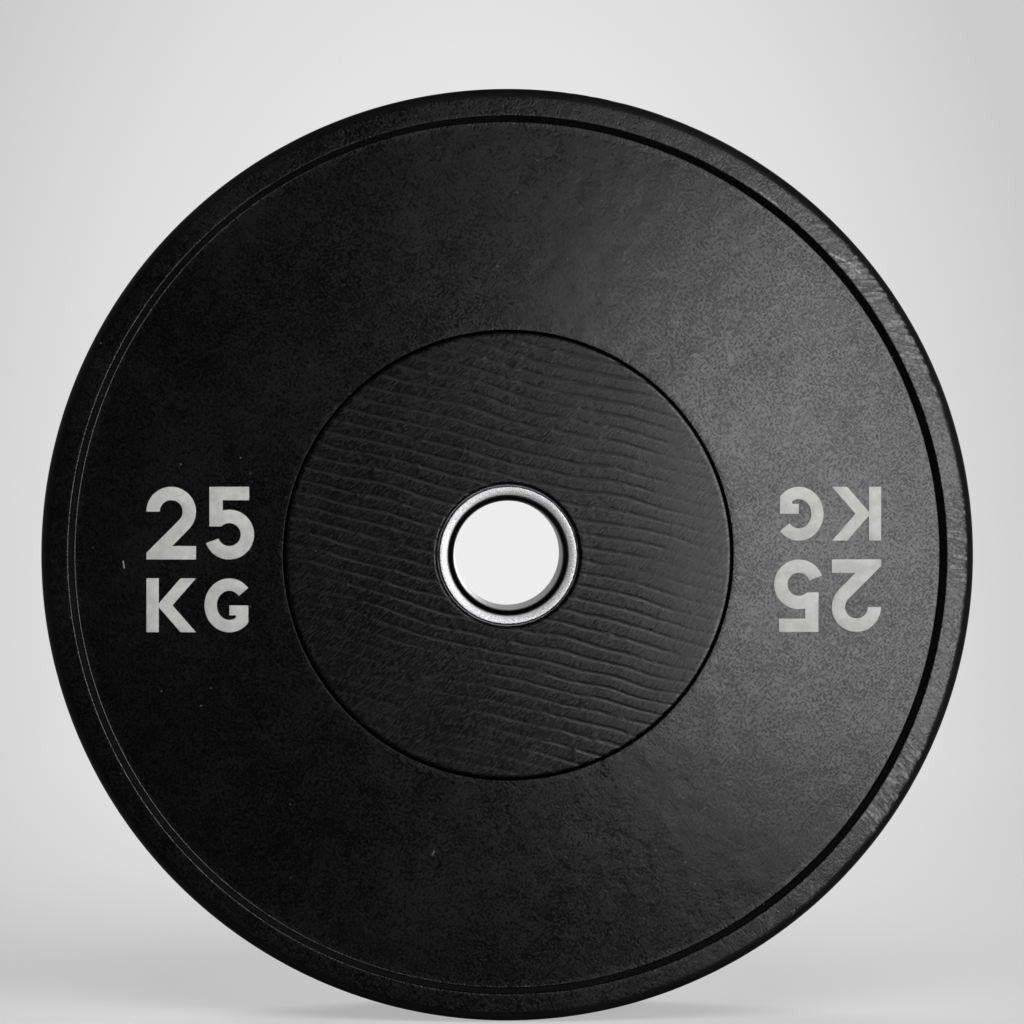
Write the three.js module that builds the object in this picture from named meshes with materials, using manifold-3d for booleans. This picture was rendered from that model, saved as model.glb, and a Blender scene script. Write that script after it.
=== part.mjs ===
// A rubber bumper plate for a barbell, standing on its rim.
// The plate's axis is Y, its front faces -Y, +Z is up and the origin is the middle of the bore.
// A moulded rubber tyre carries the rim, the dished web and a thin inner flange. Two steel core
// discs clamp that flange with screws. A steel sleeve with a collar at each end lines the bore,
// and a disc of sheet rubber covers the core on each side.
// Lengths are in millimetres.
import * as THREE from "three";
import { mergeVertices } from "three/addons/utils/BufferGeometryUtils.js";
import Module from "manifold-3d";

const wasm = await Module();
wasm.setup();

// Whole plate
const plateDiameter = 450;
const plateThickness = 70;
const boreDiameter = 52.5;

// Clearances
const slipGap = 0.3; // between pieces that are pressed or laid together
const overrun = 2; // how far a cutting tool runs past what it cuts

// Tyre
const rimWidth = 14.1; // from the tread in to the top of the step
const rimEdgeRadius = 5;
const stepDepth = 5; // from the rim's face down to the foot of the step
const stepRun = 1.8; // how far the step's wall leans in
const stepRound = 0.9;
const seamDiameter = 215.6; // middle of the narrow seam round each hub cover
const seamWidth = 1.2;
const seamBevel = 0.45;
const coreLedge = 2.1; // how far the tyre reaches in under the seam
const flangeThickness = 8.4;
const flangeLand = 17.7; // from the screw circle in to the flange's bore

// Hub covers
const coverThickness = 3;
const coverCollarGap = 0.6;
const coverDishWidth = 4; // the cover falls away towards the collar over this width
const coverDishDepth = 1.4;

// Core discs
const coreEdgeChamfer = 1.5;

// Sleeve and collars
const sleeveWall = 3.2;
const collarWidth = 7.15; // from the bore out to the collar's edge
const collarSeatDepth = 3; // how deep the collar is let into the core
const collarEdgeRound = 0.9;
const collarLipWidth = 3.1; // the gently sloping ring that faces outwards
const collarLipDrop = 0.7;
const collarBoreLand = 1.7; // straight bore between the collar's funnel and the sleeve
const collarMouthRound = 0.8;

// Clamping screws, M10 with a socket head, a split washer and a hexagon nut
const screwCount = 6;
const screwEdgeDistance = 30; // from the screw circle out to the core disc's edge
const screwDiameter = 10;
const screwHoleClearance = 0.5;
const screwTipChamfer = 1;
const screwTipCover = 3; // between the screw's tip and the hub cover
const headDiameter = 16;
const headHeight = 10;
const headRound = 0.8;
const headClearance = 1; // round the head in its pocket
const headCover = 1; // between the head and the hub cover
const socketAcrossFlats = 8;
const socketDepth = 5;
const washerThickness = 2.2;
const washerSlit = 1.6;
const nutAcrossFlats = 16;
const washerBrim = 2.1; // how much wider the washer is than the nut's flats
const nutHeight = 8.4;
const nutChamfer = 0.8;
const nutClearance = 1.7; // round the nut and its washer in their pocket

// Facets
const ringFacets = 72;
const boreFacets = 48;
const screwFacets = 12;
const rimEdgeSteps = 4;
const collarEdgeSteps = 3;
const roundSteps = 2;

// Derived places
const plateRadius = plateDiameter / 2;
const faceY = plateThickness / 2;
const boreRadius = boreDiameter / 2;
const stepTopRadius = plateRadius - rimWidth;
const stepFootRadius = stepTopRadius - stepRun;
const coverRadius = (seamDiameter - seamWidth) / 2;
const coverPocketRadius = (seamDiameter + seamWidth) / 2;
const corePocketRadius = coverPocketRadius - coreLedge;
const coreRadius = corePocketRadius - slipGap;
const coreFaceY = faceY - coverThickness;
const screwCircleRadius = coreRadius - screwEdgeDistance;
const flangeBoreRadius = screwCircleRadius - flangeLand;
const flangeFaceY = flangeThickness / 2;
const sleeveRadius = boreRadius + sleeveWall;
const collarRadius = boreRadius + collarWidth;
const collarSeatY = coreFaceY - collarSeatDepth;
const screwRadius = screwDiameter / 2;
const screwHoleRadius = screwRadius + screwHoleClearance;
const screwTipY = coreFaceY - screwTipCover;
const headRadius = headDiameter / 2;
const headTopY = coreFaceY - headCover;
const headSeatY = headTopY - headHeight;
const headPocketRadius = headRadius + headClearance;
const washerDiameter = nutAcrossFlats + washerBrim;
const washerRadius = washerDiameter / 2;
const nutCornerRadius = nutAcrossFlats / Math.sqrt(3);
const nutPocketRadius = Math.max(washerRadius, nutCornerRadius) + nutClearance;
const nutTopY = screwTipY - screwTipChamfer;
const nutFootY = nutTopY - nutHeight;
const nutSeatY = nutFootY - washerThickness;

// Materials
function material(name, color, roughness, metalness) {
  return new THREE.MeshStandardMaterial({ name, color, roughness, metalness });
}
const tyreRubber = material("tyre_rubber", 0x1b1b1c, 0.62, 0);
const coverRubber = material("cover_rubber", 0x202021, 0.7, 0);
const coreSteel = material("core_steel", 0x55585c, 0.5, 0.9);
const collarSteel = material("collar_steel", 0xc4c6c8, 0.28, 1);
const screwSteel = material("screw_steel", 0x8d9094, 0.4, 1);

// Profile points
function point(radius, y) {
  return new THREE.Vector2(radius, y);
}

// Points on an arc. An angle of zero points away from the axis, a quarter turn along +Y.
function arc(centreRadius, centreY, radius, from, to, steps) {
  const points = [];
  for (let i = 0; i <= steps; i += 1) {
    const angle = from + ((to - from) * i) / steps;
    points.push(point(centreRadius + radius * Math.cos(angle), centreY + radius * Math.sin(angle)));
  }
  return points;
}

// Rounds the corner between two sides, as far as half of each side allows. One step is a bevel.
function rounded(before, corner, after, radius, steps) {
  const toBefore = before.clone().sub(corner);
  const toAfter = after.clone().sub(corner);
  const reach = Math.min(
    radius / Math.tan(toBefore.angleTo(toAfter) / 2),
    toBefore.length() / 2,
    toAfter.length() / 2,
  );
  const start = corner.clone().add(toBefore.setLength(reach));
  const end = corner.clone().add(toAfter.setLength(reach));
  return new THREE.QuadraticBezierCurve(start, corner, end).getPoints(steps);
}

// The same profile on the other side of the plate, turned round so that it still runs the same way.
function mirrored(profile) {
  return profile.map((p) => point(p.x, -p.y)).reverse();
}

// Turns a closed profile about Y. Radii are measured to the middle of the flats, and one flat
// faces straight down, so that the tyre stands on it.
function turned(profile, facets) {
  const outward = 1 / Math.cos(Math.PI / facets);
  const ring = profile.map((p) => point(p.x * outward, p.y));
  ring.push(ring[0].clone());
  return new THREE.LatheGeometry(ring, facets, Math.PI / facets);
}

function rod(radius, fromY, toY, facets) {
  const bar = new THREE.CylinderGeometry(radius, radius, Math.abs(toY - fromY), facets);
  return bar.translate(0, (fromY + toY) / 2, 0);
}

// Joins and cuts
function solid(geometry) {
  const bare = geometry.clone();
  bare.deleteAttribute("normal");
  bare.deleteAttribute("uv");
  const merged = mergeVertices(bare);
  return new wasm.Manifold(
    new wasm.Mesh({
      numProp: 3,
      vertProperties: merged.attributes.position.array,
      triVerts: new Uint32Array(merged.index.array),
    }),
  );
}

function geometryOf(body) {
  const mesh = body.getMesh();
  const geometry = new THREE.BufferGeometry();
  geometry.setAttribute("position", new THREE.BufferAttribute(mesh.vertProperties, mesh.numProp));
  geometry.setIndex(new THREE.BufferAttribute(mesh.triVerts, 1));
  geometry.computeVertexNormals();
  return geometry;
}

function cut(geometry, tools) {
  return geometryOf(tools.reduce((left, tool) => left.subtract(solid(tool)), solid(geometry)));
}

// The screws stand in a ring round the bore, with none straight above or below it.
const screwPlaces = Array.from({ length: screwCount }, (_, i) => {
  const angle = (Math.PI * (2 * i + 1)) / screwCount;
  return new THREE.Vector3(
    screwCircleRadius * Math.sin(angle),
    0,
    screwCircleRadius * Math.cos(angle),
  );
});

function atScrews(tool) {
  return screwPlaces.map((place) => tool.clone().translate(place.x, place.y, place.z));
}

// The tyre: tread, rim, step, dished web, seam, pockets for the cover and the core, and flange.
function makeTyre() {
  const rimArcRadius = plateRadius - rimEdgeRadius;
  const rimInner = point(rimArcRadius, faceY);
  const stepTop = point(stepTopRadius, faceY);
  const stepFoot = point(stepFootRadius, faceY - stepDepth);
  const webInner = point(coverPocketRadius, faceY);
  const coverSeat = point(coverPocketRadius, coreFaceY);
  const rear = [
    ...arc(rimArcRadius, faceY - rimEdgeRadius, rimEdgeRadius, 0, Math.PI / 2, rimEdgeSteps),
    ...rounded(rimInner, stepTop, stepFoot, stepRound, roundSteps),
    ...rounded(stepTop, stepFoot, webInner, stepRound, roundSteps),
    ...rounded(stepFoot, webInner, coverSeat, seamBevel, 1),
    coverSeat,
    point(corePocketRadius, coreFaceY),
    point(corePocketRadius, flangeFaceY),
    point(flangeBoreRadius, flangeFaceY),
  ];
  const body = turned([...rear, ...mirrored(rear)], ringFacets);
  const holeEndY = flangeFaceY + overrun;
  return cut(body, atScrews(rod(screwHoleRadius, -holeEndY, holeEndY, screwFacets)));
}

// The rear core disc's section. Its boss fills the flange's bore and meets the front disc.
function coreProfile() {
  return [
    point(coreRadius, flangeFaceY),
    point(coreRadius, coreFaceY - coreEdgeChamfer),
    point(coreRadius - coreEdgeChamfer, coreFaceY),
    point(collarRadius + slipGap, coreFaceY),
    point(collarRadius + slipGap, collarSeatY),
    point(sleeveRadius + slipGap, collarSeatY),
    point(sleeveRadius + slipGap, 0),
    point(flangeBoreRadius - slipGap, 0),
    point(flangeBoreRadius - slipGap, flangeFaceY),
  ];
}

// Cuts a disc's screw holes and the pockets round them. The side is 1 at the rear, -1 in front.
function makeCoreDisc(profile, side, pocketRadius, pocketFloorY) {
  const endY = side * (coreFaceY + overrun);
  const hole = rod(screwHoleRadius, -side * overrun, endY, screwFacets);
  const pocket = rod(pocketRadius, side * pocketFloorY, endY, screwFacets);
  return cut(turned(profile, ringFacets), [...atScrews(hole), ...atScrews(pocket)]);
}

// The rear hub cover's section, dished round the collar.
function coverProfile() {
  const outerFoot = point(coverRadius, coreFaceY);
  const outerTop = point(coverRadius, faceY);
  const dishFoot = point(collarRadius + coverCollarGap, faceY - coverDishDepth);
  const dishEdge = point(dishFoot.x + coverDishWidth, faceY);
  return [
    outerFoot,
    ...rounded(outerFoot, outerTop, dishEdge, seamBevel, 1),
    dishEdge,
    dishFoot,
    point(dishFoot.x, coreFaceY),
  ];
}

// The rear collar's section: a rounded edge, a sloping lip, and a funnel down to the bore.
function collarProfile() {
  const outerFoot = point(collarRadius, collarSeatY);
  const outerTop = point(collarRadius, faceY);
  const lipFoot = point(collarRadius - collarLipWidth, faceY - collarLipDrop);
  const mouthFoot = point(boreRadius, collarSeatY + collarBoreLand);
  const boreFoot = point(boreRadius, collarSeatY);
  return [
    outerFoot,
    ...rounded(outerFoot, outerTop, lipFoot, collarEdgeRound, collarEdgeSteps),
    ...rounded(outerTop, lipFoot, mouthFoot, collarMouthRound, roundSteps),
    ...rounded(lipFoot, mouthFoot, boreFoot, collarMouthRound, roundSteps),
    boreFoot,
  ];
}

// The sleeve runs between the two collars.
function sleeveProfile() {
  return [
    point(sleeveRadius, -collarSeatY),
    point(sleeveRadius, collarSeatY),
    point(boreRadius, collarSeatY),
    point(boreRadius, -collarSeatY),
  ];
}

// A socket head screw with its head in front.
function makeScrew() {
  const headCentre = point(0, -headTopY);
  const headEdge = point(headRadius, -headTopY);
  const headFoot = point(headRadius, -headSeatY);
  const body = new THREE.LatheGeometry(
    [
      headCentre,
      ...rounded(headCentre, headEdge, headFoot, headRound, roundSteps),
      headFoot,
      point(screwRadius, -headSeatY),
      point(screwRadius, screwTipY - screwTipChamfer),
      point(screwRadius - screwTipChamfer, screwTipY),
      point(0, screwTipY),
    ],
    screwFacets,
  );
  const socketRadius = socketAcrossFlats / Math.sqrt(3);
  return cut(body, [rod(socketRadius, -headTopY - overrun, socketDepth - headTopY, 6)]);
}

// A split washer, pressed flat on the floor of the rear disc's pocket.
function makeWasher() {
  const innerRadius = screwRadius + slipGap;
  const ring = turned(
    [
      point(washerRadius, nutSeatY),
      point(washerRadius, nutFootY),
      point(innerRadius, nutFootY),
      point(innerRadius, nutSeatY),
    ],
    screwFacets,
  );
  const slit = new THREE.BoxGeometry(washerDiameter, washerThickness + overrun, washerSlit);
  return cut(ring, [slit.translate(washerRadius, (nutSeatY + nutFootY) / 2, 0)]);
}

// A hexagon nut on the washer, its corners chamfered at both faces.
function makeNut() {
  const flatRadius = nutAcrossFlats / 2;
  const reach = nutCornerRadius + overrun;
  const rise = (nutChamfer * (reach - flatRadius)) / (nutCornerRadius - flatRadius);
  const cone = new THREE.LatheGeometry(
    [
      point(0, nutFootY),
      point(flatRadius, nutFootY),
      point(reach, nutFootY + rise),
      point(reach, nutTopY - rise),
      point(flatRadius, nutTopY),
      point(0, nutTopY),
    ],
    screwFacets,
  );
  const hexagon = solid(rod(nutCornerRadius, nutFootY, nutTopY, 6)).intersect(solid(cone));
  const hole = rod(screwRadius + slipGap, nutFootY - overrun, nutTopY + overrun, screwFacets);
  return geometryOf(hexagon.subtract(solid(hole)));
}

// Assembly
const plate = new THREE.Group();
plate.name = "bumper_plate";

function add(parent, name, geometry, finish) {
  const mesh = new THREE.Mesh(geometry, finish);
  mesh.name = name;
  parent.add(mesh);
}

const sides = [
  { name: "front", side: -1, facing: mirrored, pocketRadius: headPocketRadius, floorY: headSeatY },
  { name: "rear", side: 1, facing: (p) => p, pocketRadius: nutPocketRadius, floorY: nutSeatY },
];

add(plate, "rubber_tyre", makeTyre(), tyreRubber);
add(plate, "bore_sleeve", turned(sleeveProfile(), boreFacets), collarSteel);
for (const { name, side, facing, pocketRadius, floorY } of sides) {
  const core = makeCoreDisc(facing(coreProfile()), side, pocketRadius, floorY);
  add(plate, `${name}_core_disc`, core, coreSteel);
  add(plate, `${name}_collar`, turned(facing(collarProfile()), boreFacets), collarSteel);
  add(plate, `${name}_hub_cover`, turned(facing(coverProfile()), ringFacets), coverRubber);
}

screwPlaces.forEach((place, i) => {
  const fastener = new THREE.Group();
  fastener.position.copy(place);
  plate.add(fastener);
  add(fastener, `clamp_screw_${i + 1}`, makeScrew(), screwSteel);
  add(fastener, `lock_washer_${i + 1}`, makeWasher(), screwSteel);
  add(fastener, `clamp_nut_${i + 1}`, makeNut(), screwSteel);
});

export default plate;
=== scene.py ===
"""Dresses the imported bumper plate: its rubber, its steel, its painted figures and a plain studio.

The plate's axis is Y, its front faces -Y, and it stands upright on the floor. Lengths are in metres
where no name says millimetres, and a turned section is a list of (radius, y) points.
"""

from functools import lru_cache, reduce
from math import acos, atan2, cos, degrees, hypot, pi, radians, sin, tan

import bmesh
import bpy
from bpy.props import FloatProperty, FloatVectorProperty, IntProperty, PointerProperty
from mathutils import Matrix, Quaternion, Vector


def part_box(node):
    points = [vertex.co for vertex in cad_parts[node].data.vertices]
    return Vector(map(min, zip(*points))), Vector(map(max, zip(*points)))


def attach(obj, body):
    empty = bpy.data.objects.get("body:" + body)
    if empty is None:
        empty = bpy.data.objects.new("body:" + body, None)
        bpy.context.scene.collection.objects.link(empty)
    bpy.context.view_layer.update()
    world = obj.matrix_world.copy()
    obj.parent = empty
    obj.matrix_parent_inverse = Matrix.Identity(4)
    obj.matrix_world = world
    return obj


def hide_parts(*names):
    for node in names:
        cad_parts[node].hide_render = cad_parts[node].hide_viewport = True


bl_info = {
    "name": "Bumper Plate",
    "version": (1, 0, 0),
    "blender": (4, 5, 0),
    "location": "View3D > Sidebar > Plate",
    "description": "Makes a rubber bumper plate with a steel bore, painted figures and a studio",
    "category": "Object",
}

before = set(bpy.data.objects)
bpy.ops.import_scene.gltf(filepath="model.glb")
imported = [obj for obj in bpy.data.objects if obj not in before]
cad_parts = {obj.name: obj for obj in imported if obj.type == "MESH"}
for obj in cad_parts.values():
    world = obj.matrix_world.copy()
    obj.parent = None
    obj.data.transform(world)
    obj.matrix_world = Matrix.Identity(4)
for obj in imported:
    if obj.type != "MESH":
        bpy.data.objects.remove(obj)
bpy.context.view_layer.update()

MM = 0.001
BODY = "root"
SIDES = (("front", -1), ("rear", 1))
SHARP_ANGLE = radians(38)
FACES_UP = 0.35


@lru_cache
def node_radius(node):
    """A turned node's outer radius."""
    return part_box(node)[1].x


@lru_cache
def node_face(node):
    """How far a node reaches from the middle of the plate along its axis."""
    low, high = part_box(node)
    return max(-low.y, high.y)


def length(description, millimetres):
    """A length setting. Its default is given in millimetres and held in metres."""
    return FloatProperty(
        description=description, default=millimetres * MM, min=0.0, unit="LENGTH", precision=5
    )


def colour(description, default):
    return FloatVectorProperty(
        description=description, default=default, min=0.0, max=1.0, subtype="COLOR", size=3
    )


def tilt(description, angle):
    """An angle setting. Its default is given in degrees and held in radians."""
    return FloatProperty(
        description=description, default=radians(angle), subtype="ANGLE", unit="ROTATION"
    )


def position(description, default):
    return FloatVectorProperty(
        description=description, default=default, size=3, subtype="TRANSLATION", unit="LENGTH"
    )


def watts(default):
    return FloatProperty(description="Power in watts", default=default, min=0.0)


def brightness(description, default):
    return FloatProperty(description=description, default=default, min=0.0, max=1.0)


class PlateSizes(bpy.types.PropertyGroup):
    plate_radius: length("From the axis to the tread's bead", node_radius("rubber_tyre") / MM)
    face: length("From the middle of the plate to the rim's face", node_face("rubber_tyre") / MM)
    bead_height: length("Height of the mould's parting line on the tread", 0.25)
    bead_width: length("Width of the mould's parting line", 2.2)
    rim_width: length("From the tread in to the top of the step", 14.1)
    rim_round: length("Radius of the rim's outer edges", 5.0)
    step_depth: length("From the rim's face to the foot of the step", 5.0)
    step_run: length("How far the step's wall leans in", 1.8)
    step_round: length("Radius at the top and the foot of the step", 1.2)
    rim_fall: length("How far the rim's face falls towards the tread", 0.25)
    seam_width: length("Gap round each hub cover", 1.2)
    seam_foot: length("Width of the gap at its foot", 0.15)
    seam_round: length("Radius of the seam's outer edge", 0.3)
    cover_round: length("Radius of the hub cover's edge", 0.6)
    roll_width: length("Width of the gentle roll inside the hub cover's edge", 1.5)
    roll_depth: length("How far the roll falls to the hub cover's edge", 0.18)
    roll_round: length("Radius at the top of the roll", 4.0)
    core_ledge: length("How far the tyre reaches in under the seam", 2.1)
    flange_bore: length("Radius of the hole in the tyre's inner flange", 58.3)
    flange_half: length("Half the thickness of the tyre's inner flange", 4.2)
    hole_radius: length("Radius of the flange's screw holes", 5.5)
    cover_gap: length("Gap between the hub cover and the collar", 0.6)
    dish_width: length("Width of the hub cover's fall towards the collar", 1.3)
    dish_depth: length("Depth of the hub cover's fall towards the collar", 0.6)
    dish_round: length("Radius at the top of the hub cover's fall", 2.0)
    lip_width: length("Width of the collar's rounded lip", 4.5)
    lip_turn: tilt("How far the lip turns over by its inner edge", 21)
    collar_round: length("Radius of the collar's outer edge", 0.8)
    mouth_round: length("Radius at the two ends of the collar's funnel", 0.8)
    bore_land: length("Straight bore between the funnel and the sleeve", 1.7)
    bore_radius: length("Radius of the bore", 26.25)
    web_wave: length("Height of the slow waves in the moulded web", 0.05)
    edge_wear: length("Depth of the nicks in the rim's outer edges", 0.3)
    ripple_pitch: length("Distance between the hub cover's ripples", 6.4)
    ripple_depth: length("Depth of the hub cover's ripples", 0.035)
    segments: IntProperty(description="Steps round the tyre", default=528, min=48)


class FigureSizes(bpy.types.PropertyGroup):
    figure_width: length("Width of each digit and letter", 24)
    digit_height: length("Height of the digits", 35)
    digit_stroke: length("Width of the digits' strokes", 6.5)
    letter_height: length("Height of the letters", 26)
    letter_stroke: length("Width of the letters' strokes", 6)
    figure_gap: length("Between two figures on a line", 4)
    line_gap: length("Between the digits and the letters", 9)
    left_distance: length("From the axis to the middle of the left block", 148)
    right_distance: length("From the axis to the middle of the right block", 154)
    drop: length("How far the blocks' middles lie below the axis", 2)
    raised: length("Height of the figures over the web", 0.6)
    edge_round: length("Radius of the figures' edges", 0.14)


class Finishes(bpy.types.PropertyGroup):
    rubber: colour("Black of the moulded rubber", (0.0011, 0.0011, 0.0011))
    dust: colour("Pale dust, specks and scuffs on the rubber", (0.3, 0.3, 0.295))
    paint: colour("Light grey paint on the figures", (0.6, 0.6, 0.58))
    collar_steel: colour("Turned steel of the collars and the bore", (0.72, 0.72, 0.73))
    # Painted shade: a near black for the collars' funnels, standing in for the dark room that their steel
    # would reflect.
    painted_shade: colour("Dark grease in the collars' funnels", (0.02, 0.02, 0.02))
    core_steel: colour("Plain steel of the core discs", (0.3, 0.31, 0.33))
    plating: colour("Zinc plating of the screws, washers and nuts", (0.55, 0.56, 0.58))


class StudioSettings(bpy.types.PropertyGroup):
    lens_mm: FloatProperty(description="Focal length in millimetres", default=100.8)
    camera_place: position("Where the camera stands", (-0.015, -1.413, 0.030))
    turn_right: tilt("How far the camera looks to the right of straight ahead", 0.70)
    look_down: tilt("How far the camera looks below the horizon", 0.38)
    key_power: watts(14.4)
    key_place: position("Where the key light stands", (0.59, -1.88, 0.065))
    key_width: length("Width of the key light", 660)
    key_height: length("Height of the key light", 960)
    key_lean: tilt("How far the key light's top leans to its left", 8)
    overhead_power: watts(42.0)
    side_power: watts(24.0)
    back_power: watts(50.0)
    backdrop: colour("Pale grey of the floor and the backdrop", (0.66, 0.66, 0.66))
    backdrop_glow: brightness("Brightness of the backdrop behind the plate's middle", 0.85)
    backdrop_edge: brightness("Brightness of the backdrop well away from its middle", 0.6)


def plate_sizes():
    return bpy.context.scene.plate_sizes


class Graph:
    """Adds nodes to a tree and joins them. A value is a number, a vector or another node's output."""

    def __init__(self, tree):
        self.tree = tree

    def node(self, kind, inputs=(), **settings):
        made = self.tree.nodes.new(kind)
        for key, value in settings.items():
            setattr(made, key, value)
        self.fill(made, inputs)
        return made

    def out(self, kind, inputs=(), **settings):
        """The first output of a new node."""
        return self.node(kind, inputs, **settings).outputs[0]

    def fill(self, node, inputs):
        """Sets or links several of a node's inputs."""
        for key, value in dict(inputs).items():
            socket = node.inputs[key]
            if isinstance(value, bpy.types.NodeSocket):
                self.tree.links.new(value, socket)
            else:
                socket.default_value = value

    def math(self, operation, *values):
        return self.out("ShaderNodeMath", enumerate(values), operation=operation)

    def vector(self, operation, *values):
        made = self.node("ShaderNodeVectorMath", enumerate(values), operation=operation)
        return made.outputs["Value" if operation in ("DISTANCE", "LENGTH") else "Vector"]

    def times(self, *values):
        return reduce(lambda product, value: self.math("MULTIPLY", product, value), values)

    def plus(self, *terms):
        """The sum of the terms. A tuple stands for the product of what it holds."""
        values = [self.times(*term) if isinstance(term, tuple) else term for term in terms]
        return reduce(lambda total, value: self.math("ADD", total, value), values)

    def centred(self, value, strength):
        """How far a noise lies from its middle, times a strength."""
        return self.times(self.math("SUBTRACT", value, 0.5), strength)

    def limited(self, value, low, high):
        return self.math("MINIMUM", self.math("MAXIMUM", value, low), high)

    def step(self, value, low, high):
        """Rises smoothly from 0 at low to 1 at high. Low may be the greater of the two."""
        ends = {1: min(low, high), 2: max(low, high), 3: float(low > high), 4: float(low < high)}
        return self.out("ShaderNodeMapRange", {0: value, **ends}, interpolation_type="SMOOTHSTEP")

    def band(self, value, low, high, soft):
        """1 between low and high, and 0 beyond a soft edge on either side."""
        return self.times(self.step(value, low - soft, low), self.step(value, high + soft, high))

    def remap(self, value, low, high, new_low, new_high):
        return self.out("ShaderNodeMapRange", enumerate((value, low, high, new_low, new_high)))

    def between(self, factor, low, high):
        return self.out("ShaderNodeMix", {0: factor, 2: low, 3: high}, data_type="FLOAT")

    def tint(self, factor, low, high):
        return self.node("ShaderNodeMix", {0: factor, 6: low, 7: high}, data_type="RGBA").outputs[2]

    def noise(self, place, scale, seed, detail=2.0, roughness=0.5):
        """Smooth noise about 0.5. Each seed reads another part of the same endless pattern."""
        start = (seed * 7.3, seed * 5.9, seed * 8.7)
        shifted = self.vector("MULTIPLY_ADD", place, (scale, scale, scale), start)
        inputs = {"Vector": shifted, "Scale": 1.0, "Detail": detail, "Roughness": roughness}
        return self.out("ShaderNodeTexNoise", inputs)

    def stretched(self, place, angle, along, across):
        """The place turned about the plate's axis, with one scale along the new X and one across it."""
        inputs = {"Vector": place, "Axis": (0, 1, 0), "Angle": angle}
        turned = self.out("ShaderNodeVectorRotate", inputs, rotation_type="AXIS_ANGLE")
        return self.vector("MULTIPLY", turned, (along, across, across))

    def split(self, place):
        return self.node("ShaderNodeSeparateXYZ", {0: place}).outputs[:3]

    def join(self, x, y, z):
        return self.out("ShaderNodeCombineXYZ", {0: x, 1: y, 2: z})

    def polar(self, place):
        """The distance from the plate's axis, and the angle up from +X."""
        x, _, z = self.split(place)
        radius = self.math("SQRT", self.plus((x, x), (z, z)))
        return radius, self.math("ARCTAN2", z, x)


def ripple_lines(graph, place, pitch, half_width):
    """Wavering lines across the hub cover that fall to the right, 1 in a line and 0 between. The
    half width is a share of the pitch."""
    x, _, z = graph.split(place)
    slope = radians(13)
    across = graph.plus((x, sin(slope)), (z, cos(slope)))
    slow = graph.centred(graph.noise(place, 12, 3.1), 12 * MM)
    quick = graph.centred(graph.noise(graph.stretched(place, slope, 45, 60), 1.0, 7.4), 2.6 * MM)
    waver = graph.plus(across, slow, quick)
    turns = graph.math("DIVIDE", waver, pitch)
    off_line = graph.math("PINGPONG", turns, 0.5)
    ripple = graph.step(off_line, half_width, 0.0)
    patches = graph.noise(graph.stretched(place, slope, 22, 60), 1.0, 5.2)
    dashes = graph.noise(graph.stretched(place, slope, 130, 160), 1.0, 6.3)
    strength = graph.times(graph.step(patches, 0.24, 0.46), graph.step(dashes, 0.2, 0.5))
    right_end = graph.step(x, 92 * MM, 45 * MM)
    lower_left = graph.step(graph.plus(z, (x, 0.8)), -95 * MM, -55 * MM)
    return graph.times(ripple, strength, graph.plus(0.25, (right_end, lower_left, 0.75)))


def tyre_relief(graph, place):
    """Slow waves in the web, and nicks worn into the rim's outer edges."""
    sizes = plate_sizes()
    radius, angle = graph.polar(place)
    x, y, z = graph.split(place)
    side = graph.math("SIGN", y)
    web = graph.band(radius, 112 * MM, 206 * MM, 3 * MM)
    outside = graph.step(graph.math("ABSOLUTE", y), 26 * MM, 29 * MM)
    swell = graph.math("SUBTRACT", graph.noise(place, 26, 1.7, detail=3), 0.5)
    rise = graph.times(swell, web, outside, side, sizes.web_wave * 2)
    edge = graph.band(radius, 220 * MM, 230 * MM, 1.5 * MM)
    shoulder = graph.band(graph.math("ABSOLUTE", y), 28.5 * MM, 33.6 * MM, 1.5 * MM)
    nicks = graph.step(graph.noise(place, 130, 9.3, detail=3), 0.56, 0.72)
    worn_place = graph.band(angle, radians(68), radians(80), radians(4))
    wear = graph.plus((nicks, 0.12), (worn_place, nicks))
    bite = graph.times(wear, edge, shoulder, -sizes.edge_wear)
    inward = graph.math("DIVIDE", bite, radius)
    return graph.join(graph.times(x, inward), rise, graph.times(z, inward))


def cover_relief(graph, place):
    """The hub cover's ripples and slow waves."""
    sizes = plate_sizes()
    radius, _ = graph.polar(place)
    _, y, _ = graph.split(place)
    side = graph.math("SIGN", y)
    flat = graph.band(radius, 39 * MM, 105.5 * MM, 1.5 * MM)
    outside = graph.step(graph.math("ABSOLUTE", y), 33.5 * MM, 34.5 * MM)
    lines = ripple_lines(graph, place, sizes.ripple_pitch, 0.32)
    swell = graph.noise(place, 34, 2.6, detail=1)
    depth = graph.plus((lines, sizes.ripple_depth), (swell, sizes.ripple_depth))
    inward = graph.times(depth, flat, outside, graph.times(side, -1.0))
    return graph.join(0.0, inward, 0.0)


TURNED_INPUTS = (
    ("Section", "Geometry"),
    ("Pitch radius", "Float"),
    ("Segments", "Int"),
    ("Finish", "Material"),
    ("Hole circle", "Float"),
    ("Hole radius", "Float"),
    ("Hole length", "Float"),
)
AXIS_TO_Y = (pi / 2, 0, 0)
HOLE_SIDES = 48


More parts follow.
